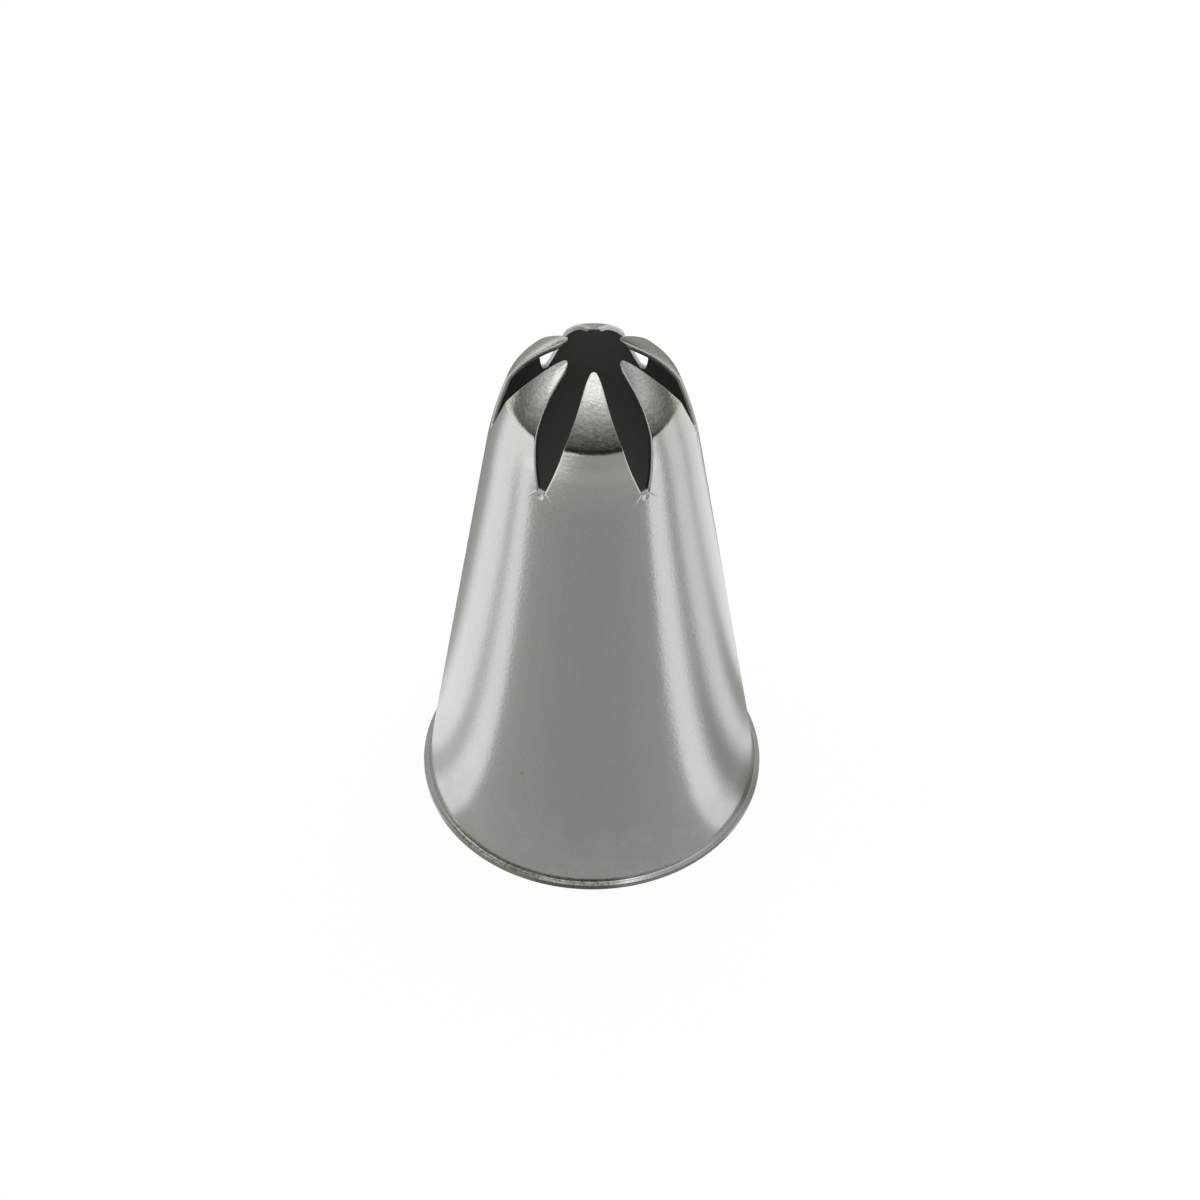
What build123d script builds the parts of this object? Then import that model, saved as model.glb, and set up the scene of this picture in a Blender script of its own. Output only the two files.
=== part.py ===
"""Piping nozzle of drawn sheet steel, with a closed star outlet of bent-in petals.

One piece of sheet is drawn into a cup, its end is slit into petals and the petals are bent
inwards until their points nearly meet. Millimetres, +Z up through the outlet. The origin is
the centre of the base, on the plane that the turned-out rim stands on. A petal faces -Y.
"""

import os
from math import atan2, cos, radians, sin, tan

from build123d import *

# Sheet
sheet_thickness = 0.4

# Rim: the foot of the wall is turned outwards into a flat ring
rim_radius = 12.5
rim_reach = 0.4  # from the foot of the wall to the rim's edge
rim_bend_reach = 0.2  # how far the bend runs from its corner, each way

# Wall: one straight taper up to the shoulder
wall_angle = 8.05  # from the vertical
shoulder_drop = 7.2  # below the outlet
shoulder_bend_reach = 2.4

# Shoulder: where drawing has started to close the wall
shoulder_angle = 17.0  # from the vertical
knuckle_drop = 3.8  # below the outlet
knuckle_bend_reach = 0.3

# Petals: the former flat end of the cup, slightly domed
outlet_height = 42.8
outlet_radius = 2.1
petal_count = 6
petal_crown = 0.3  # height of the dome over a straight petal
petal_point_radius = 0.13

# Slots: leaf shaped, a saw's width at the closed end and widest over the petals
slot_end_drop = 7.45  # below the outlet
slot_end_width = 0.5
slot_belly_radius = 4.9  # distance of the widest place from the axis
slot_belly_width = 2.42
slot_mouth_width = 1.8
slot_mouth_length = 0.6  # straight length of slot next to the petals' points
slot_cut_angle = 45.0  # of the cutting direction above the horizontal

# Spare sheet past the petals' points, trimmed away last
spare_length = 0.8


shoulder_height = outlet_height - shoulder_drop
knuckle_height = outlet_height - knuckle_drop
slot_end_height = outlet_height - slot_end_drop


def wall_radius(height):
    """Outside radius of the straight wall at a height."""
    return rim_radius - rim_reach - (height - sheet_thickness) * tan(radians(wall_angle))


# Corners of the section's outside, before they are bent
rim_edge = Vector(rim_radius, sheet_thickness)
wall_foot = Vector(wall_radius(sheet_thickness), sheet_thickness)
shoulder = Vector(wall_radius(shoulder_height), shoulder_height)
closing = (knuckle_height - shoulder_height) * tan(radians(shoulder_angle))
knuckle = Vector(shoulder.X - closing, knuckle_height)
petal_point = Vector(outlet_radius, outlet_height)

# The dome's pull stands twice the crown off the middle of a straight petal
petal_slope = atan2(petal_point.Y - knuckle.Y, knuckle.X - petal_point.X)
crown_side = Vector(sin(petal_slope), cos(petal_slope))
dome_pull = (knuckle + petal_point) / 2 + crown_side * (2 * petal_crown)
spare_end = petal_point + (petal_point - dome_pull).normalized() * spare_length


def toward(corner, other, reach):
    """The point at a distance from a corner towards another one."""
    return corner + (other - corner).normalized() * reach


# The outside as points: each bend is where it starts, its corner and where it ends
outside_points = (
    rim_edge,
    toward(wall_foot, rim_edge, rim_bend_reach),
    wall_foot,
    toward(wall_foot, shoulder, rim_bend_reach),
    toward(shoulder, wall_foot, shoulder_bend_reach),
    shoulder,
    toward(shoulder, knuckle, shoulder_bend_reach),
    toward(knuckle, shoulder, knuckle_bend_reach),
    knuckle,
    toward(knuckle, dome_pull, knuckle_bend_reach),
    dome_pull,
    petal_point,
    spare_end,
)


def sunk(points, depth):
    """The points of an open line moved squarely into the sheet by a depth."""
    legs = [(end - start).normalized() for start, end in zip(points, points[1:])]
    moved = []
    for point, before, after in zip(points, [legs[0], *legs], [*legs, legs[-1]]):
        inwards = Vector(-before.Y - after.Y, before.X + after.X)
        moved.append(point + inwards * (depth / (1 + before.dot(after))))
    return moved


def draw_side(points):
    """Draw one side of the sheet: straight stretches, three bends and the petals' dome."""
    rim, foot, top, knuckle_start, spare = (points[index] for index in (0, 1, 4, 7, 11))
    Line(rim, foot)
    Bezier(*points[1:4])
    Line(points[3], top)
    Bezier(*points[4:7])
    Line(points[6], knuckle_start)
    Bezier(*points[7:10])
    Bezier(*points[9:12])
    Line(spare, points[12])


inside_points = sunk(outside_points, sheet_thickness)

# Slot cutter: a leaf drawn square to the cutting direction, its closed end downhill
slot_plane = Plane(
    origin=(0, 0, shoulder_height),
    x_dir=(1, 0, 0),
    z_dir=(0, -cos(radians(slot_cut_angle)), sin(radians(slot_cut_angle))),
)


def along_slot(radius, height):
    """Place along the leaf's midline of a point at a radius and height."""
    return slot_plane.to_local_coords(Vector(0, -radius, height)).Y


def petal_height(radius):
    """Height of the petals' outside at a radius, the crown left out."""
    return outlet_height - (radius - outlet_radius) * tan(petal_slope)


closed_end = (slot_end_width / 2, along_slot(wall_radius(slot_end_height), slot_end_height))
belly = (slot_belly_width / 2, along_slot(slot_belly_radius, petal_height(slot_belly_radius)))
mouth_radius = outlet_radius + slot_mouth_length
mouth = (slot_mouth_width / 2, along_slot(mouth_radius, petal_height(mouth_radius)))
past_axis = (slot_mouth_width / 2, along_slot(0, outlet_height + outlet_radius))

with BuildPart() as slot_cutter:
    with BuildSketch(slot_plane) as leaf:
        with BuildLine() as half_leaf:
            Line((0, closed_end[1]), closed_end)
            TangentArc(belly, closed_end, tangent=(0, -1))
            TangentArc(belly, mouth, tangent=(0, 1))
            Line(mouth, past_axis)
            Line(past_axis, (0, past_axis[1]))
            mirror(about=Plane.YZ)
        make_face()
    extrude(amount=rim_radius)

# Sheet shell: the section between the sheet's two sides, turned about the axis
with BuildPart() as nozzle_shell:
    with BuildSketch(Plane.YZ) as section:
        with BuildLine():
            draw_side(outside_points)
            draw_side(inside_points)
            Line(outside_points[0], inside_points[0])
            Line(outside_points[-1], inside_points[-1])
        make_face()
    revolve(axis=Axis.Z)

    # The slots lie between the petals, the first half a petal away from the front
    with PolarLocations(0, petal_count, start_angle=180 / petal_count):
        add(slot_cutter.part, mode=Mode.SUBTRACT)

    # The spare sheet past the points is trimmed upright, and each point is rounded
    with BuildSketch(Plane.XY.offset(shoulder_height)) as outlet:
        Circle(outlet_radius)
    extrude(amount=outlet_height, mode=Mode.SUBTRACT)
    fillet(nozzle_shell.edges().filter_by(Axis.Z).group_by(Axis.Z)[-1], petal_point_radius)

os.makedirs("parts", exist_ok=True)
nozzle_shell.part.label = "nozzle_shell"
export_step(nozzle_shell.part, "parts/nozzle_shell.step")
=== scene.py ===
from math import asin, cos, pi, radians, sin, sqrt, tan

import bpy
from bpy.props import FloatProperty, FloatVectorProperty, IntProperty, PointerProperty
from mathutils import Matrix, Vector


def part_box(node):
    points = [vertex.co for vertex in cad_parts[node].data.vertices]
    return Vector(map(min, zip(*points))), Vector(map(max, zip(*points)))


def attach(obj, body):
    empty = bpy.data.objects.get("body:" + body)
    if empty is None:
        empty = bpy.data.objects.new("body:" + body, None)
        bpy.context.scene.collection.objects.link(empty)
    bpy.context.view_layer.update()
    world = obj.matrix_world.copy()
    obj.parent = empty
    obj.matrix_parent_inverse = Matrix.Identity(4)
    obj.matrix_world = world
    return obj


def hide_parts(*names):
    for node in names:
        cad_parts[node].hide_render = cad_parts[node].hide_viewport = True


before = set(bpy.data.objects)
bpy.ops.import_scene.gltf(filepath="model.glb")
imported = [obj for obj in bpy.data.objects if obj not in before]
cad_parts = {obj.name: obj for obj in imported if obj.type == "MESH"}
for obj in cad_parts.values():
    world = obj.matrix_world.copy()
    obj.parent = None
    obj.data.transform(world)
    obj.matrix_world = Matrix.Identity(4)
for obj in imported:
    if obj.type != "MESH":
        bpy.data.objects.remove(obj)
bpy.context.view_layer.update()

bl_info = {
    "name": "Piping nozzle",
    "version": (1, 0, 0),
    "blender": (4, 5, 0),
    "location": "View3D > Sidebar > Nozzle",
    "description": "A pressed steel piping nozzle with a closed star outlet, and its stage",
    "category": "Object",
}

MM = 0.001
base_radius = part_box("nozzle_shell")[1][0]
outlet_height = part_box("nozzle_shell")[1][2]


class NozzleSizes(bpy.types.PropertyGroup):
    """Sizes of the sheet, its bends and the slots"""

    sheet_thickness: FloatProperty(
        name="Sheet thickness", description="Thickness of the sheet steel",
        default=0.4 * MM, unit="LENGTH")
    edge_crease: FloatProperty(
        name="Edge sharpness", description="How sharp the cut edges stay, from 0 to 1",
        default=0.55, min=0, max=1)
    rim_reach: FloatProperty(
        name="Rim reach", description="From the foot of the wall to the rim's edge",
        default=0.4 * MM, unit="LENGTH")
    rim_bend: FloatProperty(
        name="Rim bend", description="How far the rim's bend runs from its corner, each way",
        default=0.2 * MM, unit="LENGTH")
    wall_angle: FloatProperty(
        name="Wall angle", description="Lean of the straight wall from the vertical",
        default=radians(8.05), subtype="ANGLE")
    shoulder_height: FloatProperty(
        name="Shoulder height", description="Where the wall starts to close",
        default=35.6 * MM, unit="LENGTH")
    shoulder_bend: FloatProperty(
        name="Shoulder bend", description="How far the soft bend runs from its corner, each way",
        default=2.4 * MM, unit="LENGTH")
    shoulder_angle: FloatProperty(
        name="Shoulder angle", description="Lean of the closing wall from the vertical",
        default=radians(17), subtype="ANGLE")
    knuckle_height: FloatProperty(
        name="Knuckle height", description="Where the petals bend in",
        default=39.0 * MM, unit="LENGTH")
    knuckle_bend: FloatProperty(
        name="Knuckle bend", description="How far the tight bend runs from its corner, each way",
        default=0.3 * MM, unit="LENGTH")
    outlet_radius: FloatProperty(
        name="Outlet radius", description="Circle that the petals' points lie on",
        default=2.1 * MM, unit="LENGTH")
    petal_count: IntProperty(
        name="Petals", description="How many petals close the end", default=6, min=3)
    point_radius: FloatProperty(
        name="Point radius", description="Rounding of each petal's point",
        default=0.15 * MM, unit="LENGTH")
    petal_crown: FloatProperty(
        name="Petal crown", description="Height of the petals' dome over a straight petal",
        default=0.3 * MM, unit="LENGTH")
    slot_end_height: FloatProperty(
        name="Slot end height", description="Where each slot starts on the wall",
        default=35.35 * MM, unit="LENGTH")
    slot_end_width: FloatProperty(
        name="Slot end width", description="Width of the slot's closed end",
        default=0.5 * MM, unit="LENGTH")
    slot_belly_radius: FloatProperty(
        name="Slot belly radius", description="Distance of the slot's widest place from the axis",
        default=4.9 * MM, unit="LENGTH")
    slot_belly_width: FloatProperty(
        name="Slot belly width", description="Width of the slot at its widest place",
        default=2.42 * MM, unit="LENGTH")
    slot_mouth_width: FloatProperty(
        name="Slot mouth width", description="Width of the slot next to the petals' points",
        default=1.8 * MM, unit="LENGTH")
    slot_mouth_length: FloatProperty(
        name="Slot mouth length", description="Straight length of slot next to the points",
        default=0.6 * MM, unit="LENGTH")
    slot_cut_angle: FloatProperty(
        name="Slot cut angle", description="Slope of the cutting direction",
        default=radians(45), subtype="ANGLE")


class SteelLooks(bpy.types.PropertyGroup):
    """Colours and finish of the steel"""

    steel_colour: FloatVectorProperty(
        name="Steel", description="Colour of the satin sheet", subtype="COLOR", size=3,
        default=(0.66, 0.655, 0.636), min=0, max=1)
    inside_colour: FloatVectorProperty(
        name="Inside", description="Colour of the drawn inside, dull from the press",
        subtype="COLOR", size=3, default=(0.40, 0.40, 0.37), min=0, max=1)
    # The stain's colour also paints the shade at the petals' feet and low at the right
    stain_and_shade_colour: FloatVectorProperty(
        name="Stain", description="Colour of the film left in the corners", subtype="COLOR",
        size=3, default=(0.30, 0.29, 0.23), min=0, max=1)
    roughness: FloatProperty(
        name="Roughness", description="Of the satin wall", default=0.18, min=0, max=1)


class StageSettings(bpy.types.PropertyGroup):
    """Floor, lamps and camera"""

    floor_colour: FloatVectorProperty(
        name="Floor", description="Colour of the floor", subtype="COLOR", size=3,
        default=(0.9, 0.9, 0.9), min=0, max=1)
    mouth_glow: FloatProperty(
        name="Mouth glow", description="How bright the floor in the mouth is to the steel inside",
        default=0.14, min=0, max=1)
    camera_distance: FloatProperty(
        name="Camera distance", description="From the camera to the centre of the base",
        default=27 * base_radius, unit="LENGTH")
    camera_lens: FloatProperty(
        name="Camera lens", description="Focal length in millimetres on a 36 mm sensor",
        default=135.7, min=1)
    camera_aim: FloatVectorProperty(
        name="Camera aim", description="The place in the middle of the picture",
        size=3, default=(0.53 * MM, 0, 17.6 * MM), subtype="TRANSLATION", unit="LENGTH")
    camera_elevation: FloatProperty(
        name="Camera elevation", description="Height of the camera over the floor, as an angle",
        default=radians(50), subtype="ANGLE")
    camera_roll: FloatProperty(
        name="Camera roll", description="Turn of the picture", default=radians(0.42),
        subtype="ANGLE")


# The sheet in section, and the slot's edge on it

# Rows of points along each stretch of the sheet's outside
RIM_BEND_ROWS = 4
WALL_ROWS = 5
SHOULDER_ROWS = 8
CLOSING_ROWS = 2
KNUCKLE_ROWS = 5
PETAL_ROWS = 8
# How far the last rows stand from a petal's point, in point radii
POINT_ROWS = (1, 0.5, 0.15, 0)
# Rounds in which a slot's angle and the place along the slot settle
SLOT_ROUNDS = 20


def toward(corner, other, distance):
    return corner + (other - corner).normalized() * distance


def straight(start, end, rows):
    return [start.lerp(end, row / rows) for row in range(1, rows + 1)]


def bent(start, corner, end, rows):
    """Points of a soft bend round a corner, its start left out."""
    line = []
    for row in range(1, rows + 1):
        t = row / rows
        line.append(start * (1 - t) ** 2 + corner * (2 * t * (1 - t)) + end * t ** 2)
    return line


def wall_radius(size, height):
    """Radius of the straight wall's outside at a height."""
    lean = (height - size.sheet_thickness) * tan(size.wall_angle)
    return base_radius - size.rim_reach - lean


def knuckle_radius(size):
    closing = (size.knuckle_height - size.shoulder_height) * tan(size.shoulder_angle)
    return wall_radius(size, size.shoulder_height) - closing


def outside_line(size):
    """The sheet's outside as radius and height, from the rim's edge to a petal's point."""
    foot = Vector((wall_radius(size, size.sheet_thickness), size.sheet_thickness))
    rim_edge = Vector((base_radius, size.sheet_thickness))
    shoulder = Vector((wall_radius(size, size.shoulder_height), size.shoulder_height))
    knuckle = Vector((knuckle_radius(size), size.knuckle_height))
    point = Vector((size.outlet_radius, outlet_height))
    across = (knuckle - point).normalized()
    pull = (knuckle + point) / 2 + Vector((-across.y, across.x)) * (2 * size.petal_crown)

    line = [rim_edge]
    line += straight(rim_edge, toward(foot, rim_edge, size.rim_bend), 1)
    line += bent(line[-1], foot, toward(foot, shoulder, size.rim_bend), RIM_BEND_ROWS)
    line += straight(line[-1], toward(shoulder, foot, size.shoulder_bend), WALL_ROWS)
    line += bent(line[-1], shoulder, toward(shoulder, knuckle, size.shoulder_bend), SHOULDER_ROWS)
    line += straight(line[-1], toward(knuckle, shoulder, size.knuckle_bend), CLOSING_ROWS)
    line += bent(line[-1], knuckle, toward(knuckle, pull, size.knuckle_bend), KNUCKLE_ROWS)
    line += bent(line[-1], pull, point, PETAL_ROWS)
    line[-1:] = [toward(point, line[-2], size.point_radius * share) for share in POINT_ROWS]

    # A row is needed at the slots' closed end
    above = next(index for index, place in enumerate(line) if place.y > size.slot_end_height)
    below, over = line[above - 1], line[above]
    share = (size.slot_end_height - below.y) / (over.y - below.y)
    line.insert(above, below.lerp(over, share))
    return line


def slot_half_angle(size, place):
    """Half the angle that a slot takes out of the sheet at a radius and height."""
    slope = size.slot_cut_angle

    def along(radius, height):
        return (height - size.shoulder_height) * cos(slope) - radius * sin(slope)

    def petal_height(radius):
        fall = (outlet_height - size.knuckle_height) / (knuckle_radius(size) - size.outlet_radius)
        return outlet_height - (radius - size.outlet_radius) * fall

    mouth_radius = size.outlet_radius + size.slot_mouth_length
    start = along(wall_radius(size, size.slot_end_height), size.slot_end_height)
    belly = along(size.slot_belly_radius, petal_height(size.slot_belly_radius))
    mouth = along(mouth_radius, petal_height(mouth_radius))
    widest = size.slot_belly_width / 2

    def half_width(spot):
        """The slot's edge is one arc from its closed end to the belly, and one on to the mouth."""
        if spot >= mouth:
            return size.slot_mouth_width / 2
        far, width = (start, size.slot_end_width) if spot < belly else (mouth, size.slot_mouth_width)
        fall = widest - width / 2
        arc = (fall ** 2 + (far - belly) ** 2) / (2 * fall)
        return widest - arc + sqrt(arc ** 2 - (spot - belly) ** 2)

    angle = 0
    for _ in range(SLOT_ROUNDS):
        spot = max(start, along(place.x * cos(angle), place.y))
        angle = asin(half_width(spot) / place.x)

    # The petal's point is rounded
    from_point = sqrt((place.x - size.outlet_radius) ** 2 + (outlet_height - place.y) ** 2)
    left = max(0, size.point_radius - from_point)
    rounded = size.point_radius - sqrt(size.point_radius ** 2 - left ** 2)
    return angle + rounded / place.x


# Modelling by hand

PETAL_CUTS = 5
SMOOTH_LEVELS = 2
MERGE_DISTANCE = 0.001 * MM
SELECT_MARGIN = 0.01 * MM
# Points within this share of the outlet's radius stand past the petals' points
TRIM_SHARE = 0.99


def deselect():
    if bpy.context.object and bpy.context.object.mode != "OBJECT":
        bpy.ops.object.mode_set(mode="OBJECT")
    bpy.ops.object.select_all(action="DESELECT")


def drawn_line(points):
    """Draw a line in edit mode: a plane shrunk to one point, drawn out step by step."""
    bpy.ops.mesh.select_all(action="DESELECT")
    bpy.ops.mesh.primitive_plane_add(size=MM, location=points[0])
    bpy.ops.mesh.merge(type="CENTER")
    for start, end in zip(points, points[1:]):
        bpy.ops.mesh.extrude_vertices_move(TRANSFORM_OT_translate={"value": end - start})


def select_where(piece, test):
    """Select the points that pass a test of their place, and stay in edit mode."""
    bpy.ops.object.mode_set(mode="EDIT")
    bpy.ops.mesh.select_mode(type="VERT")
    bpy.ops.mesh.select_all(action="DESELECT")
    bpy.ops.object.mode_set(mode="OBJECT")
    for vertex in piece.data.vertices:
        vertex.select = test(vertex.co)
    bpy.ops.object.mode_set(mode="EDIT")


def apply_modifier(piece, name, kind, **settings):
    """Add a modifier, set it and apply it."""
    modifier = piece.modifiers.new(name, kind)
    for setting, value in settings.items():
        setattr(modifier, setting, value)
    bpy.ops.object.modifier_apply(modifier=modifier.name)


def unrolled(angle, place):
    """A point of the sheet rolled out flat: x is the way round, y the depth."""
    return Vector((angle * base_radius, base_radius - place.x, place.y))


def draw_half_petal(size):
    """Draw half a petal with the wall under it, rolled out flat."""
    half = pi / size.petal_count
    line = outside_line(size)
    end_row = next(row for row, place in enumerate(line) if place.y >= size.slot_end_height)
    end_angle = slot_half_angle(size, line[end_row])
    edge_angles = [half - end_angle] * end_row
    edge_angles += [half - slot_half_angle(size, place) for place in line[end_row:]]

    deselect()
    bpy.ops.mesh.primitive_plane_add(size=MM)
    shell = bpy.context.object
    shell.name = "steel_shell"
    for name in ("Satin steel", "Drawn inside", "Cut edge"):
        shell.data.materials.append(bpy.data.materials[name])
    bpy.ops.object.mode_set(mode="EDIT")
    bpy.ops.mesh.delete(type="VERT")
    drawn_line([unrolled(0, place) for place in line])
    drawn_line([unrolled(angle, place) for angle, place in zip(edge_angles, line)])
    bpy.ops.mesh.select_all(action="SELECT")
    bpy.ops.mesh.bridge_edge_loops(number_cuts=PETAL_CUTS, interpolation="LINEAR")

    # Below the slot the wall goes on to the slot's middle line
    edge = (half - end_angle) * base_radius - SELECT_MARGIN
    top = size.slot_end_height + SELECT_MARGIN
    select_where(shell, lambda place: place.z < top and place.x > edge)
    bpy.ops.mesh.extrude_region_move(
        TRANSFORM_OT_translate={"value": (end_angle * base_radius, 0, 0)})
    bpy.ops.object.mode_set(mode="OBJECT")
    return shell


def bend_round(shell, size):
    """Mirror the half petal, repeat it, bend the row round the axis and close it."""
    petal_width = 2 * pi * base_radius / size.petal_count
    apply_modifier(shell, "Other half", "MIRROR", merge_threshold=MERGE_DISTANCE)
    apply_modifier(
        shell, "Petals", "ARRAY", count=size.petal_count, use_relative_offset=False,
        use_constant_offset=True, constant_offset_displace=(petal_width, 0, 0),
        use_merge_vertices=True, merge_threshold=MERGE_DISTANCE)
    apply_modifier(
        shell, "Bent round", "SIMPLE_DEFORM", deform_method="BEND", deform_axis="Z", angle=2 * pi)

    bpy.ops.object.mode_set(mode="EDIT")
    bpy.ops.mesh.select_all(action="SELECT")
    bpy.ops.transform.translate(value=(0, -base_radius, 0))
    bpy.ops.mesh.remove_doubles(threshold=2 * MERGE_DISTANCE)
    bpy.ops.mesh.normals_make_consistent(inside=False)
    bpy.ops.object.mode_set(mode="OBJECT")
    if any(face.normal.dot(face.center) < 0 for face in shell.data.polygons):
        raise RuntimeError("the sheet's outside faces the wrong way")


def give_thickness(shell, size):
    """Thicken the sheet inwards, keep each point's depth, trim the petals' points and smooth."""
    outside_points = len(shell.data.vertices)
    apply_modifier(
        shell, "Sheet", "SOLIDIFY", thickness=size.sheet_thickness, offset=-1,
        use_even_offset=True, edge_crease_inner=size.edge_crease,
        edge_crease_outer=size.edge_crease, material_offset=1, material_offset_rim=2)
    depths = [0.0] * outside_points + [1.0] * (len(shell.data.vertices) - outside_points)
    depth = shell.data.attributes.new("sheet_depth", "FLOAT", "POINT")
    depth.data.foreach_set("value", depths)

    # The sheet's thickness leans the points' cut inwards, and the trim sets it upright
    innermost = min(vertex.co.xy.length for vertex in shell.data.vertices)
    select_where(shell, lambda place: place.xy.length < size.outlet_radius * TRIM_SHARE)
    spread = size.outlet_radius / innermost
    bpy.ops.transform.resize(value=(spread, spread, 1), center_override=(0, 0, 0))
    bpy.ops.object.mode_set(mode="OBJECT")
    apply_modifier(shell, "Smooth", "SUBSURF", levels=SMOOTH_LEVELS, render_levels=SMOOTH_LEVELS)
    bpy.ops.object.shade_smooth()


class OBJECT_OT_nozzle_shell(bpy.types.Operator):
    """Draw half a petal of the rolled-out sheet, repeat it, bend it round and give it thickness"""

    bl_idname = "object.nozzle_shell"
    bl_label = "Nozzle shell"

    def execute(self, context):
        size = context.scene.nozzle_sizes
        shell = draw_half_petal(size)
        bend_round(shell, size)
        give_thickness(shell, size)
        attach(shell, "root")
        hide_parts("nozzle_shell")
        return {"FINISHED"}


# Nodes


def connect(tree, value, socket):
    """Link a socket to an input, or set the input to a value."""
    if isinstance(value, bpy.types.NodeSocket):
        tree.links.new(value, socket)
    else:
        socket.default_value = value


def node(tree, kind, inputs=(), **settings):
    """Add a node, set it and link or set its inputs."""
    made = tree.nodes.new(kind)
    for name, value in settings.items():
        setattr(made, name, value)
    for name, value in dict(inputs).items():
        connect(tree, value, made.inputs[name])
    return made


def maths(tree, operation, first, second=0.0):
    return node(tree, "ShaderNodeMath", {0: first, 1: second}, operation=operation).outputs[0]


def product(tree, first, *factors):
    for factor in factors:
        first = maths(tree, "MULTIPLY", first, factor)
    return first


def between(tree, share, low, high):
    """Low where the share is 0 and high where it is 1."""
    return maths(tree, "ADD", maths(tree, "MULTIPLY", share, high - low), low)


def ramp(tree, value, start, end, low=0.0, high=1.0):
    """A smooth step of a value between two places."""
    step = node(tree, "ShaderNodeMapRange", {
        "Value": value, "From Min": start, "From Max": end, "To Min": low, "To Max": high},
        interpolation_type="SMOOTHSTEP")
    return step.outputs["Result"]


def grey_ramp(tree, value, stops):
    """A colour ramp of greys through places from 0 to 1 and their levels."""
    made = node(tree, "ShaderNodeValToRGB", {0: value})
    elements = made.color_ramp.elements
    elements[0].position, elements[1].position = 0, 1
    for place, level in stops:
        stop = elements[0] if place == 0 else elements[-1] if place == 1 else elements.new(place)
        stop.color = (level, level, level, 1)
    return made.outputs["Color"]


def tint(tree, share, first, second, blend="MIX"):
    mixed = node(tree, "ShaderNodeMix", data_type="RGBA", blend_type=blend)
    for name, value in (("Factor", share), ("A", first), ("B", second)):
        kind = "VALUE" if name == "Factor" else "RGBA"
        connect(tree, value, next(s for s in mixed.inputs if s.name == name and s.type == kind))
    return next(s for s in mixed.outputs if s.type == "RGBA")


def noise(tree, place, scale, detail, roughness=0.5):
    """Noise of a scale per metre."""
    return node(tree, "ShaderNodeTexNoise", {
        "Vector": place, "Scale": scale, "Detail": detail, "Roughness": roughness}).outputs["Fac"]


def length(tree, vector):
    return node(tree, "ShaderNodeVectorMath", {0: vector}, operation="LENGTH").outputs["Value"]


def new_material(name):
    material = bpy.data.materials.new(name)
    material.use_nodes = True
    material.node_tree.nodes.clear()
    return material


def new_group(name, inputs, outputs):
    """A node group with named sockets, and its two end nodes."""
    group = bpy.data.node_groups.new(name, "ShaderNodeTree")
    for label, kind, default in inputs:
        socket = group.interface.new_socket(label, in_out="INPUT", socket_type=kind)
        if default is not None:
            socket.default_value = default
    for label, kind in outputs:
        group.interface.new_socket(label, in_out="OUTPUT", socket_type=kind)
    return group, group.nodes.new("NodeGroupInput").outputs, group.nodes.new("NodeGroupOutput").inputs


# Materials

# The sheet's relief: its height in millimetres, and the scale per metre and detail of its noise
SHEET_RELIEF = (
    ("Grain", 0.009, 4500, 2),
    ("Peel", 0.0, 6500, 2),
    ("Waves", 0.004, 160, 1),
)
# The heights that differ on the petals, inside and on the cut edges
PETAL_PEEL = 0.005
INSIDE_GRAIN = 0.0015
INSIDE_PEEL = 0.004
EDGE_GRAIN = 0.004

# Patterns of shade: scale per metre, detail and roughness of their noise
GRAIN_SHADE = (6000, 4, 0.65)
BLOTCHES = (2600, 4, 0.75)
CLOUDS = (420, 3, 0.6)
PITS_SCALE = 420
# The levels of each noise between which its pattern goes from none to full
SPECKLE_LEVELS = (0.3, 0.7)
BLOTCH_LEVELS = (0.42, 0.62)
OLIVE_LEVELS = (0.38, 0.62)
CLOUD_LEVELS = (0.4, 0.65)
# How much lighter and darker than its colour the satin sheet is
SATIN_CONTRAST = 0.04
# A pit's edge as a share of its cell, and the share of cells that have no pit
PIT_LEVELS = (0.03, 0.015)
PITS_LEFT_OUT = 0.8

# How much the roughness changes with the blotches, the grain and on the petals
BLOTCH_ROUGHNESS = 0.1
GRAIN_ROUGHNESS = 0.22
PETAL_ROUGHNESS = 0.01
# The roughness of the inside and of the cut edges
INSIDE_ROUGHNESS = 0.5
EDGE_ROUGHNESS = 0.35

# A dent lies below each slot, and a pinched crease runs down from each of its sides, in millimetres
DENT_DROP = 0.42
DENT_RADIUS = 0.3
DENT_DEPTH = 0.05
CREASE_HEIGHT = 0.014
CREASE_HALF_WIDTH = 0.13
CREASE_START = 0.25
CREASE_SLOPE = 0.85
CREASE_BEGINS = (0.0, 0.2)
CREASE_FADES = (1.1, 0.45)

# Marks on the steel. A pair says where a mark starts and where it is full or done changing.
FRONT = (0, -3 * MM)
FILM_HEIGHT = (0.8 * MM, 0.5 * MM)
FILM_HALF_WIDTH = (0.45 * MM, 0.32 * MM)
FILM_FROM_LEFT = (-11.5 * MM, -9.5 * MM)
FILM_FROM_RIGHT = (2.6 * MM, 0.8 * MM)
FILM_MOVES_OUT = (-4 * MM, -1 * MM)
FILM_FROM_CORNER = -0.15 * MM
FILM_FROM_EDGE = -0.25 * MM
FILM_SHARE = 0.95
# The least share of the film and of the painted shade at the petals' feet, between the blotches
FILM_AND_SHADE_LEAST = 0.3
THICK_FILM_LEAST = 0.45
THICK_FILM_MOST = 0.85
THICK_FILM_FROM_LEFT = (-3.5 * MM, -1 * MM)
# A painted shade low on the wall at the right
SHADE_PATCH_PLACE = (11.3 * MM, -3.2 * MM, 1.4 * MM)
SHADE_PATCH_RADIUS = (3.2 * MM, 0.5 * MM)
SHADE_PATCH_SHARE = 0.6
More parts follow.
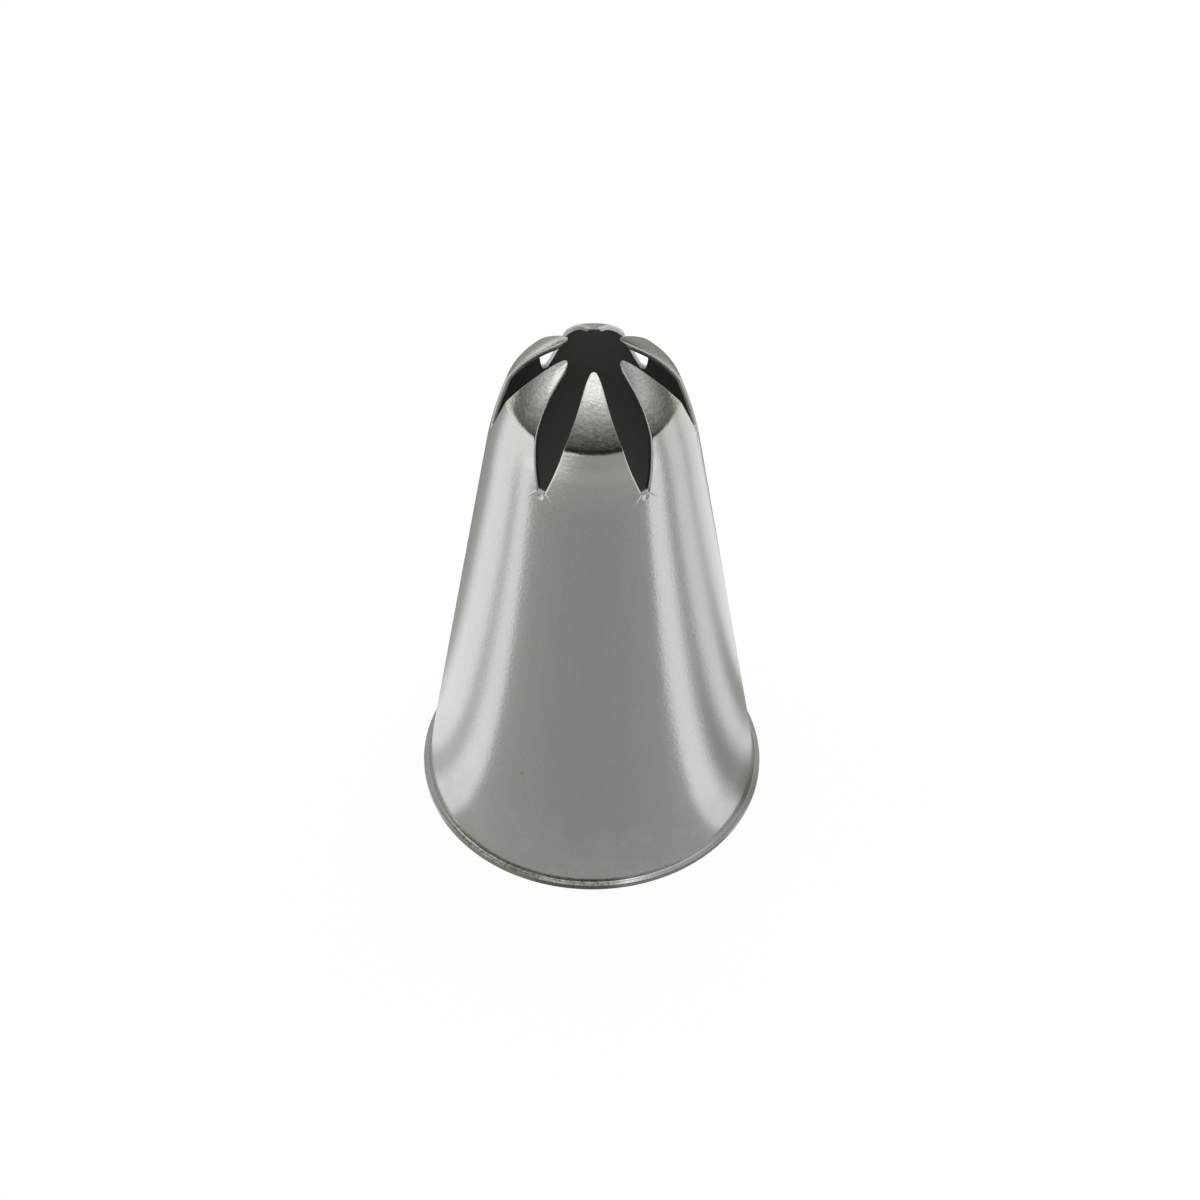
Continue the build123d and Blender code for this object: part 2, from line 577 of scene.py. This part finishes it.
# A painted highlight on the rim's bend at the front right
RIM_HIGHLIGHT_FROM_CORNER = (-0.3 * MM, -0.15 * MM)
RIM_HIGHLIGHT_HEIGHT = (0.9 * MM, 0.7 * MM)
RIM_HIGHLIGHT_FROM_LEFT = (1.8 * MM, 3 * MM)
RIM_HIGHLIGHT_FROM_RIGHT = (9.5 * MM, 7.5 * MM)
CLOUD_HEIGHT = (10 * MM, 2 * MM)
CLOUD_SHARE = 0.35
INSIDE_STAIN_SHARE = 0.3
EDGE_STAIN_FROM_LEFT = (-5 * MM, -3.5 * MM)
EDGE_STAIN_FROM_RIGHT = (2.4 * MM, 1.2 * MM)
EDGE_BRIGHT_TO_LEFT = (-9 * MM, -11 * MM)
ABOVE_RIM = (1 * MM, 2 * MM)
# A painted highlight on the cut edges, matt and near white towards the outside
EDGE_HIGHLIGHT_DEPTH = (0.48, 0.24)
EDGE_HIGHLIGHT_HEIGHT = (10 * MM, 30 * MM)
EDGE_HIGHLIGHT_LOW_SHARE = 0.45
EDGE_HIGHLIGHT_METAL = 0.1

# Marks placed by their height over the knuckle, and the ring below it
ON_PETAL = (-0.1 * MM, 0.15 * MM)
# Painted shade at the foot of each petal
PETAL_FOOT_SHADE = (0.9 * MM, 0.2 * MM)
PETAL_FOOT_SHADE_SHARE = 0.5
PETAL_LOWER = (2.6 * MM, 0.6 * MM)
RING_DROP = 1.8 * MM
RING_HALF_WIDTH = (0.8 * MM, 0.2 * MM)
RING_FRONT = (-4.4 * MM, -5.4 * MM)
RING_SHARE = 0.5

# The colours of the marks and of the cut edges
SPECKLE_DARK = (0.54, 0.535, 0.5, 1)
SPECKLE_LIGHT = (0.78, 0.775, 0.74, 1)
OLIVE_DARK = (0.52, 0.52, 0.445, 1)
OLIVE_LIGHT = (0.77, 0.77, 0.71, 1)
RING_COLOUR = (0.8, 0.795, 0.76, 1)
CLOUD_COLOUR = (0.8, 0.795, 0.77, 1)
# The painted highlight on the rim
RIM_HIGHLIGHT_COLOUR = (0.93, 0.93, 0.91, 1)
THICK_FILM_COLOUR = (0.2, 0.195, 0.16, 1)
PIT_COLOUR = (0.2, 0.2, 0.17, 1)
CUT_DARK = (0.45, 0.45, 0.42, 1)
CUT_LIGHT = (0.6, 0.6, 0.57, 1)
RIM_CUT = (0.45, 0.45, 0.41, 1)
RIM_CUT_LEFT = (0.62, 0.62, 0.58, 1)
RIM_CUT_STAIN = (0.16, 0.16, 0.125, 1)
# The painted highlight of the cut edges
EDGE_HIGHLIGHT_COLOUR = (0.95, 0.95, 0.93, 1)


def sheet_grain_group():
    """Fine satin grain, the orange peel of stretched sheet and slow waves, all in millimetres."""
    inputs = [("Position", "NodeSocketVector", None)]
    inputs += [(label, "NodeSocketFloat", depth) for label, depth, _, _ in SHEET_RELIEF]
    group, given, put = new_group("Sheet grain", inputs, (
        ("Height", "NodeSocketFloat"), ("Shade", "NodeSocketFloat")))
    height = 0.0
    for label, _, scale, detail in SHEET_RELIEF:
        centred = maths(group, "SUBTRACT", noise(group, given["Position"], scale, detail), 0.5)
        height = maths(group, "ADD", product(group, centred, given[label]), height)
    group.links.new(height, put["Height"])
    group.links.new(noise(group, given["Position"], *GRAIN_SHADE), put["Shade"])
    return group


def slot_pinch_group(size):
    """The small dent and the two pinched creases that the press leaves below each slot."""
    group, given, put = new_group("Slot pinch", (("Position", "NodeSocketVector", None),), (
        ("Height", "NodeSocketFloat"),))
    x, y, z = node(group, "ShaderNodeSeparateXYZ", {0: given["Position"]}).outputs
    pitch = 2 * pi / size.petal_count
    turn = maths(group, "ARCTAN2", x, maths(group, "MULTIPLY", y, -1.0))
    from_slot = maths(group, "SUBTRACT", maths(group, "FRACT", maths(group, "DIVIDE", turn, pitch)), 0.5)
    radius = length(group, node(group, "ShaderNodeCombineXYZ", {"X": x, "Y": y}).outputs[0])
    across = product(group, from_slot, radius, pitch / MM)
    down = product(group, maths(group, "SUBTRACT", size.slot_end_height, z), 1 / MM)

    from_dent = length(group, node(group, "ShaderNodeCombineXYZ", {
        "X": across, "Y": maths(group, "SUBTRACT", down, DENT_DROP)}).outputs[0])
    dent = ramp(group, from_dent, DENT_RADIUS, 0.0, 0.0, -DENT_DEPTH)

    track = maths(group, "ADD", maths(group, "MULTIPLY", down, CREASE_SLOPE), CREASE_START)
    side = maths(group, "ABSOLUTE", across)
    off = maths(group, "ABSOLUTE", maths(group, "SUBTRACT", side, track))
    crease = product(
        group, ramp(group, off, CREASE_HALF_WIDTH, 0.0, 0.0, CREASE_HEIGHT),
        ramp(group, down, *CREASE_BEGINS), ramp(group, down, *CREASE_FADES))
    group.links.new(maths(group, "ADD", dent, crease), put["Height"])
    return group


def use_group(tree, group, inputs):
    return node(tree, "ShaderNodeGroup", inputs, node_tree=group).outputs


def finish_steel(tree, colour, relief, roughness, metallic=1.0):
    """The steel's shader, with a relief in millimetres."""
    bump = node(tree, "ShaderNodeBump", {"Height": relief, "Strength": 1.0, "Distance": MM})
    steel = node(tree, "ShaderNodeBsdfPrincipled", {
        "Base Color": colour, "Metallic": metallic, "Roughness": roughness,
        "Normal": bump.outputs[0]})
    node(tree, "ShaderNodeOutputMaterial", {"Surface": steel.outputs[0]})


def satin_outside(size, looks, grain_group, pinch_group):
    """The satin outside with its speckle, films, rubbed places, clouds and pits."""
    tree = new_material("Satin steel").node_tree
    place = node(tree, "ShaderNodeTexCoord").outputs["Object"]
    x, y, height = node(tree, "ShaderNodeSeparateXYZ", {0: place}).outputs
    radius = length(tree, node(
        tree, "ShaderNodeVectorMath", {0: place, 1: (1, 1, 0)}, operation="MULTIPLY").outputs[0])
    over_knuckle = maths(tree, "SUBTRACT", height, size.knuckle_height)
    on_petal = ramp(tree, over_knuckle, *ON_PETAL)
    front = ramp(tree, y, *FRONT)
    grain = use_group(tree, grain_group, {
        "Position": place, "Peel": maths(tree, "MULTIPLY", on_petal, PETAL_PEEL)})
    pinch = use_group(tree, pinch_group, {"Position": place})
    relief = maths(tree, "ADD", grain["Height"], pinch["Height"])
    blotch = noise(tree, place, *BLOTCHES)
    blotches = ramp(tree, blotch, *BLOTCH_LEVELS)

    # Fine speckle, stronger on the petals
    speckle = ramp(tree, grain["Shade"], *SPECKLE_LEVELS)
    darker = [part * (1 - SATIN_CONTRAST) for part in looks.steel_colour]
    lighter = [part * (1 + SATIN_CONTRAST) for part in looks.steel_colour]
    colour = tint(tree, speckle, (*darker, 1), (*lighter, 1))
    colour = tint(tree, on_petal, colour, tint(tree, speckle, SPECKLE_DARK, SPECKLE_LIGHT))

    # A brighter ring below the knuckle, at the front
    from_ring = maths(tree, "ABSOLUTE", maths(tree, "ADD", over_knuckle, RING_DROP))
    ring = product(
        tree, ramp(tree, from_ring, *RING_HALF_WIDTH), ramp(tree, y, *RING_FRONT, 0.0, RING_SHARE))
    colour = tint(tree, ring, colour, RING_COLOUR)

    # The wall is cloudy near its foot
    cloud = product(
        tree, ramp(tree, noise(tree, place, *CLOUDS), *CLOUD_LEVELS),
        ramp(tree, height, *CLOUD_HEIGHT, 0.0, CLOUD_SHARE))
    colour = tint(tree, cloud, colour, CLOUD_COLOUR)

    # The rim's bend at the front right gets a painted highlight
    corner_radius = base_radius - size.rim_reach + size.rim_bend
    from_corner = maths(tree, "SUBTRACT", radius, corner_radius)
    rim_highlight = product(
        tree, ramp(tree, height, *RIM_HIGHLIGHT_HEIGHT), ramp(tree, from_corner, *RIM_HIGHLIGHT_FROM_CORNER),
        ramp(tree, x, *RIM_HIGHLIGHT_FROM_LEFT), ramp(tree, x, *RIM_HIGHLIGHT_FROM_RIGHT), front)
    colour = tint(tree, rim_highlight, colour, RIM_HIGHLIGHT_COLOUR)

    # The petals' lower part is mottled olive
    lower = product(tree, ramp(tree, over_knuckle, *PETAL_LOWER), on_petal)
    olive = tint(tree, ramp(tree, blotch, *OLIVE_LEVELS), OLIVE_DARK, OLIVE_LIGHT)
    colour = tint(tree, lower, colour, olive)

    # A film in the corner of the rim, and painted shade at the foot of each petal and low on the wall at
    # the right
    film_radius = ramp(
        tree, x, *FILM_MOVES_OUT, corner_radius + FILM_FROM_CORNER, base_radius + FILM_FROM_EDGE)
    off = maths(tree, "ABSOLUTE", maths(tree, "SUBTRACT", radius, film_radius))
    rim_corner = product(
        tree, ramp(tree, height, *FILM_HEIGHT), ramp(tree, off, *FILM_HALF_WIDTH),
        ramp(tree, x, *FILM_FROM_LEFT), ramp(tree, x, *FILM_FROM_RIGHT), front)
    petal_foot_shade = product(tree, ramp(tree, over_knuckle, *PETAL_FOOT_SHADE), on_petal, PETAL_FOOT_SHADE_SHARE)
    film_and_shade = maths(tree, "MAXIMUM", product(tree, rim_corner, FILM_SHARE), petal_foot_shade)
    # The painted shade low at the right
    from_shade_patch = node(tree, "ShaderNodeVectorMath", {
        0: place, 1: SHADE_PATCH_PLACE}, operation="DISTANCE").outputs["Value"]
    shade_patch = ramp(tree, from_shade_patch, *SHADE_PATCH_RADIUS, 0.0, SHADE_PATCH_SHARE)
    film_and_shade = product(tree, film_and_shade, between(tree, blotches, FILM_AND_SHADE_LEAST, 1.0))
    film_and_shade = maths(tree, "MAXIMUM", film_and_shade, shade_patch)
    colour = tint(tree, film_and_shade, colour, (*looks.stain_and_shade_colour, 1))
    thick_film = product(
        tree, rim_corner, ramp(tree, x, *THICK_FILM_FROM_LEFT),
        between(tree, blotches, THICK_FILM_LEAST, THICK_FILM_MOST))
    colour = tint(tree, thick_film, colour, THICK_FILM_COLOUR)

    # A few pits
    cells = node(tree, "ShaderNodeTexVoronoi", {"Vector": place, "Scale": PITS_SCALE}).outputs
    chosen = maths(tree, "GREATER_THAN", node(
        tree, "ShaderNodeSeparateColor", {0: cells["Color"]}).outputs[0], PITS_LEFT_OUT)
    pits = product(tree, ramp(tree, cells["Distance"], *PIT_LEVELS), chosen)
    colour = tint(tree, pits, colour, PIT_COLOUR)

    roughness = between(tree, on_petal, looks.roughness, looks.roughness + PETAL_ROUGHNESS)
    for source, change in ((blotch, BLOTCH_ROUGHNESS), (grain["Shade"], GRAIN_ROUGHNESS)):
        part = maths(tree, "MULTIPLY", maths(tree, "SUBTRACT", source, 0.5), change)
        roughness = maths(tree, "ADD", part, roughness)
    finish_steel(tree, colour, relief, roughness)


def drawn_inside(looks, grain_group):
    """The dull inside, as it comes from the press."""
    tree = new_material("Drawn inside").node_tree
    place = node(tree, "ShaderNodeTexCoord").outputs["Object"]
    grain = use_group(tree, grain_group, {
        "Position": place, "Grain": INSIDE_GRAIN, "Peel": INSIDE_PEEL})
    stained = maths(tree, "MULTIPLY", grain["Shade"], INSIDE_STAIN_SHARE)
    dull = tint(tree, stained, (*looks.inside_colour, 1), (*looks.stain_and_shade_colour, 1))
    finish_steel(tree, dull, grain["Height"], INSIDE_ROUGHNESS)


def cut_edge(size, grain_group):
    """The cut edges: plain and stained at the rim, and along the slots matt and near white, a painted
    highlight.
    """
    tree = new_material("Cut edge").node_tree
    place = node(tree, "ShaderNodeTexCoord").outputs["Object"]
    grain = use_group(tree, grain_group, {"Position": place, "Grain": EDGE_GRAIN})
    x, _, height = node(tree, "ShaderNodeSeparateXYZ", {0: place}).outputs
    shade = ramp(tree, grain["Shade"], *SPECKLE_LEVELS)
    stained = product(
        tree, ramp(tree, x, *EDGE_STAIN_FROM_LEFT), ramp(tree, x, *EDGE_STAIN_FROM_RIGHT),
        between(tree, shade, 0.5, 1.0))
    rim = tint(tree, ramp(tree, x, *EDGE_BRIGHT_TO_LEFT), RIM_CUT, RIM_CUT_LEFT)
    rim = tint(tree, stained, rim, RIM_CUT_STAIN)
    cut = tint(tree, shade, CUT_DARK, CUT_LIGHT)
    colour = tint(tree, ramp(tree, height, *ABOVE_RIM), rim, cut)

    # The half towards the outside is matt and near white, a painted highlight, most of all over the
    # knuckle
    depth = node(tree, "ShaderNodeAttribute", attribute_name="sheet_depth").outputs["Fac"]
    edge_highlight = product(
        tree, ramp(tree, depth, *EDGE_HIGHLIGHT_DEPTH), ramp(
            tree, height, size.slot_end_height - 1 * MM, size.knuckle_height + 1 * MM,
            EDGE_HIGHLIGHT_LOW_SHARE, 1.0),
        ramp(tree, height, *EDGE_HIGHLIGHT_HEIGHT))
    colour = tint(tree, edge_highlight, colour, EDGE_HIGHLIGHT_COLOUR)
    finish_steel(tree, colour, grain["Height"], EDGE_ROUGHNESS, between(tree, edge_highlight, 1.0, EDGE_HIGHLIGHT_METAL))


class MATERIAL_OT_satin_steel(bpy.types.Operator):
    """Make the steel's finishes: the satin outside, the dull inside and the cut edges"""

    bl_idname = "material.satin_steel"
    bl_label = "Satin steel"

    def execute(self, context):
        looks = context.scene.nozzle_looks
        size = context.scene.nozzle_sizes
        grain_group = sheet_grain_group()
        satin_outside(size, looks, grain_group, slot_pinch_group(size))
        drawn_inside(looks, grain_group)
        cut_edge(size, grain_group)
        return {"FINISHED"}


# Stage

# The steel mirrors fans of light and shade on the floor. The lamps don't throw them: they are drawn
# in the floor's material and only the steel sees them. Broad fans: the turn from the right-hand
# side in degrees, and the floor's brightness there.
BROAD_FANS = (
    (-180, 0.98), (-154, 0.98), (-150, 0.45), (-140, 0.4), (-115, 0.35), (-90, 0.335),
    (-68, 0.35), (-48, 0.38), (-38.5, 0.43), (-34, 0.95), (-24, 0.96), (-14, 0.82), (25, 0.82),
    (45, 0.93), (54, 0.93), (60, 0.29), (72, 0.27), (85, 0.34), (100, 0.37),
    (110, 0.31), (120, 0.31), (144.5, 0.43), (153.5, 0.8), (160, 1.0), (180, 0.98),
)
# Narrow shades: where they start in base radii, their turn, half their width at the start in base
# radii, half their spread, and their depth at the nozzle and further out
NARROW_SHADES = (
    ((-1.0, -0.05), -169, 0.12, 5.2, 0.38, 0.34),
    ((1.0, -0.17), -12.5, 0.2, 5.0, 0.62, 0.44),
    ((1.0, 0.42), 17, 0.2, 4.0, 0.58, 0.24),
)
# The soft edge of a narrow shade, in half widths, and where it sets in and reaches its far depth
SHADE_EDGE = (1.6, 0.2)
SHADE_SETS_IN = (-0.5 * base_radius, 0)
SHADE_CHANGES = (0, 2 * base_radius)
SHADE_LEAST_WIDTH = 0.1 * MM
FLOOR_SIZE = 2
# The floor as the steel mirrors it: painted paler far away and to the left, and greyer close by as a
# painted shade
FLOOR_FAR = (5 * base_radius, 9 * base_radius)
FLOOR_FAR_SHARE = 0.12
FLOOR_FAR_COLOUR = (0.8, 0.8, 0.8, 1)
FLOOR_LEFT = (-5 * base_radius, -8 * base_radius)
FLOOR_NEAR = (1.6 * base_radius, base_radius)
FLOOR_NEAR_SHARE = 0.3
FLOOR_NEAR_COLOUR = (0.45, 0.45, 0.45, 1)
MOUTH_RADIUS = 0.98 * base_radius
WARM_SHADE = (1, 1, 0.945, 1)
WHITE = (1, 1, 1, 1)
# How much of the floor is plain glow to the camera. The rest keeps the shadow.
FLOOR_GLOW_SHARE = 0.95

# The studio's brightness against how high and how far from the front it stands
WORLD_STEPS = (
    (0, 0.02), (0.14, 0.03), (0.25, 0.12), (0.45, 0.28), (0.58, 0.49), (0.68, 0.7), (0.82, 0.36),
    (1, 0.42))
# The front counts as lower than the back, and the steps begin a little below the horizon
WORLD_FRONT_DROP = 0.45
WORLD_LIFT = 0.2


def narrow_shade(tree, place, start, turn, width, spread, near_depth, far_depth):
    """How bright a narrow fan of shade leaves the floor."""
    turned = node(tree, "ShaderNodeMapping", {
        "Vector": place, "Location": (start[0] * base_radius, start[1] * base_radius, 0),
        "Rotation": (0, 0, radians(turn))}, vector_type="TEXTURE").outputs[0]
    ahead, aside, _ = node(tree, "ShaderNodeSeparateXYZ", {0: turned}).outputs
    half_width = maths(tree, "ADD", product(tree, ahead, tan(radians(spread))), width * base_radius)
    half_width = maths(tree, "MAXIMUM", half_width, SHADE_LEAST_WIDTH)
    share = maths(tree, "DIVIDE", maths(tree, "ABSOLUTE", aside), half_width)
    shade = product(
        tree, ramp(tree, share, *SHADE_EDGE),
        ramp(tree, ahead, *SHADE_CHANGES, near_depth, far_depth),
        ramp(tree, ahead, *SHADE_SETS_IN))
    return maths(tree, "SUBTRACT", 1.0, shade)


def mirrored_floor(tree, place, mouth_glow):
    """The floor's colour as the steel mirrors it."""
    away = length(tree, place)
    turn = node(tree, "ShaderNodeTexGradient", {0: place}, gradient_type="RADIAL").outputs["Fac"]
    level = grey_ramp(tree, turn, [((degrees + 180) / 360, level) for degrees, level in BROAD_FANS])
    for shade in NARROW_SHADES:
        level = maths(tree, "MULTIPLY", level, narrow_shade(tree, place, *shade))
    far = ramp(tree, away, *FLOOR_FAR, 0.0, FLOOR_FAR_SHARE)
    colour = tint(tree, far, level, FLOOR_FAR_COLOUR)
    x = node(tree, "ShaderNodeSeparateXYZ", {0: place}).outputs["X"]
    colour = tint(tree, ramp(tree, x, *FLOOR_LEFT), colour, WHITE)
    colour = tint(tree, 1.0, colour, tint(tree, level, WARM_SHADE, WHITE), "MULTIPLY")
    near = ramp(tree, away, *FLOOR_NEAR, 0.0, FLOOR_NEAR_SHARE)
    colour = tint(tree, near, colour, FLOOR_NEAR_COLOUR)
    outside = maths(tree, "GREATER_THAN", away, MOUTH_RADIUS)
    return tint(tree, outside, (mouth_glow, mouth_glow, mouth_glow, 1), colour)


def lay_floor(stage):
    """A matt floor: pale with its shadow to the camera, and with its fans of light to the steel."""
    deselect()
    bpy.ops.mesh.primitive_plane_add(size=FLOOR_SIZE)
    floor = bpy.context.object
    floor.name = "floor"
    paper = new_material("Pale floor")
    tree = paper.node_tree
    place = node(tree, "ShaderNodeTexCoord").outputs["Object"]
    matt = node(tree, "ShaderNodeBsdfDiffuse", {"Color": (*stage.floor_colour, 1)})
    rays = node(tree, "ShaderNodeLightPath").outputs
    glossy = rays["Is Glossy Ray"]
    colour = tint(tree, glossy, WHITE, mirrored_floor(tree, place, stage.mouth_glow))
    glow = node(tree, "ShaderNodeEmission", {"Color": colour, "Strength": 1.0})
    seen = maths(tree, "MAXIMUM", rays["Is Camera Ray"], glossy)
    seen = maths(tree, "MAXIMUM", seen, rays["Is Transmission Ray"])
    seen = product(tree, seen, between(tree, glossy, FLOOR_GLOW_SHARE, 1.0))
    mix = node(tree, "ShaderNodeMixShader", {0: seen, 1: matt.outputs[0], 2: glow.outputs[0]})
    node(tree, "ShaderNodeOutputMaterial", {"Surface": mix.outputs[0]})
    floor.data.materials.append(paper)


def light_studio(scene):
    """The world: soft steps of grey round the nozzle, and plain white to the camera."""
    scene.world = bpy.data.worlds.new("Studio")
    scene.world.use_nodes = True
    tree = scene.world.node_tree
    tree.nodes.clear()
    way = node(tree, "ShaderNodeTexCoord").outputs["Generated"]
    _, y, z = node(tree, "ShaderNodeSeparateXYZ", {0: way}).outputs
    front = maths(tree, "MINIMUM", y, 0.0)
    lift = maths(tree, "ADD", z, maths(tree, "MULTIPLY", front, WORLD_FRONT_DROP))
    studio = grey_ramp(tree, maths(tree, "ADD", lift, WORLD_LIFT), WORLD_STEPS)
    camera_ray = node(tree, "ShaderNodeLightPath").outputs["Is Camera Ray"]
    level = maths(tree, "MAXIMUM", studio, camera_ray)
    sky = node(tree, "ShaderNodeBackground", {"Color": WHITE, "Strength": level})
    node(tree, "ShaderNodeOutputWorld", {"Surface": sky.outputs[0]})


def add_lamp(name, location, width, height, power):
    """A soft lamp that points at the nozzle's middle."""
    deselect()
    bpy.ops.object.light_add(type="AREA", location=location)
    lamp = bpy.context.object
    lamp.name = name
    lamp.data.shape = "RECTANGLE"
    lamp.data.size = width
    lamp.data.size_y = height
    lamp.data.energy = power
    middle = Vector((0, 0, 20 * MM))
    lamp.rotation_euler = (middle - Vector(location)).to_track_quat("-Z", "Y").to_euler()
    return lamp


def set_camera(scene, stage):
    bpy.ops.object.camera_add()
    camera = bpy.context.object
    camera.name = "camera"
    scene.camera = camera
    lens = camera.data
    lens.sensor_width = 36
    lens.sensor_fit = "HORIZONTAL"
    lens.lens = stage.camera_lens
    lens.clip_start = 0.01
    elevation = stage.camera_elevation
    camera.location = Vector((0, -cos(elevation), sin(elevation))) * stage.camera_distance
    look = Vector(stage.camera_aim) - camera.location
    camera.rotation_euler = look.to_track_quat("-Z", "Y").to_euler()
    camera.rotation_euler.rotate_axis("Z", stage.camera_roll)


class SCENE_OT_nozzle_stage(bpy.types.Operator):
    """Lay the floor and set the lamps and the camera"""

    bl_idname = "scene.nozzle_stage"
    bl_label = "Stage"

    def execute(self, context):
        stage = context.scene.nozzle_stage
        lay_floor(stage)
        light_studio(context.scene)
        add_lamp("overhead lamp", (0, -0.17, 0.485), width=0.3, height=0.24, power=0.208)
        add_lamp("left lamp", (-0.36, 0.03, 0.425), width=0.2, height=0.26, power=0.16)
        floor_lamp = add_lamp("floor lamp", (0.05, 0.15, 0.6), width=0.5, height=0.5, power=2.2)
        floor_lamp.visible_glossy = False
        set_camera(context.scene, stage)
        context.scene.view_settings.view_transform = "Standard"
        return {"FINISHED"}


class VIEW3D_PT_nozzle(bpy.types.Panel):
    """Sizes, finish and stage of the piping nozzle"""

    bl_label = "Piping nozzle"
    bl_space_type = "VIEW_3D"
    bl_region_type = "UI"
    bl_category = "Nozzle"

    def draw(self, context):
        scene = context.scene
        for operator, settings in (
                ("material.satin_steel", scene.nozzle_looks),
                ("object.nozzle_shell", scene.nozzle_sizes),
                ("scene.nozzle_stage", scene.nozzle_stage)):
            self.layout.operator(operator)
            for name in settings.__annotations__:
                self.layout.prop(settings, name)


classes = (
    NozzleSizes, SteelLooks, StageSettings, MATERIAL_OT_satin_steel,
    OBJECT_OT_nozzle_shell, SCENE_OT_nozzle_stage, VIEW3D_PT_nozzle,
)


def register():
    for added in classes:
        bpy.utils.register_class(added)
    bpy.types.Scene.nozzle_sizes = PointerProperty(type=NozzleSizes)
    bpy.types.Scene.nozzle_looks = PointerProperty(type=SteelLooks)
    bpy.types.Scene.nozzle_stage = PointerProperty(type=StageSettings)


def unregister():
    del bpy.types.Scene.nozzle_stage
    del bpy.types.Scene.nozzle_looks
    del bpy.types.Scene.nozzle_sizes
    for added in reversed(classes):
        bpy.utils.unregister_class(added)


def main():
    register()
    bpy.ops.material.satin_steel()
    bpy.ops.object.nozzle_shell()
    bpy.ops.scene.nozzle_stage()


if __name__ == "__main__":
    main()
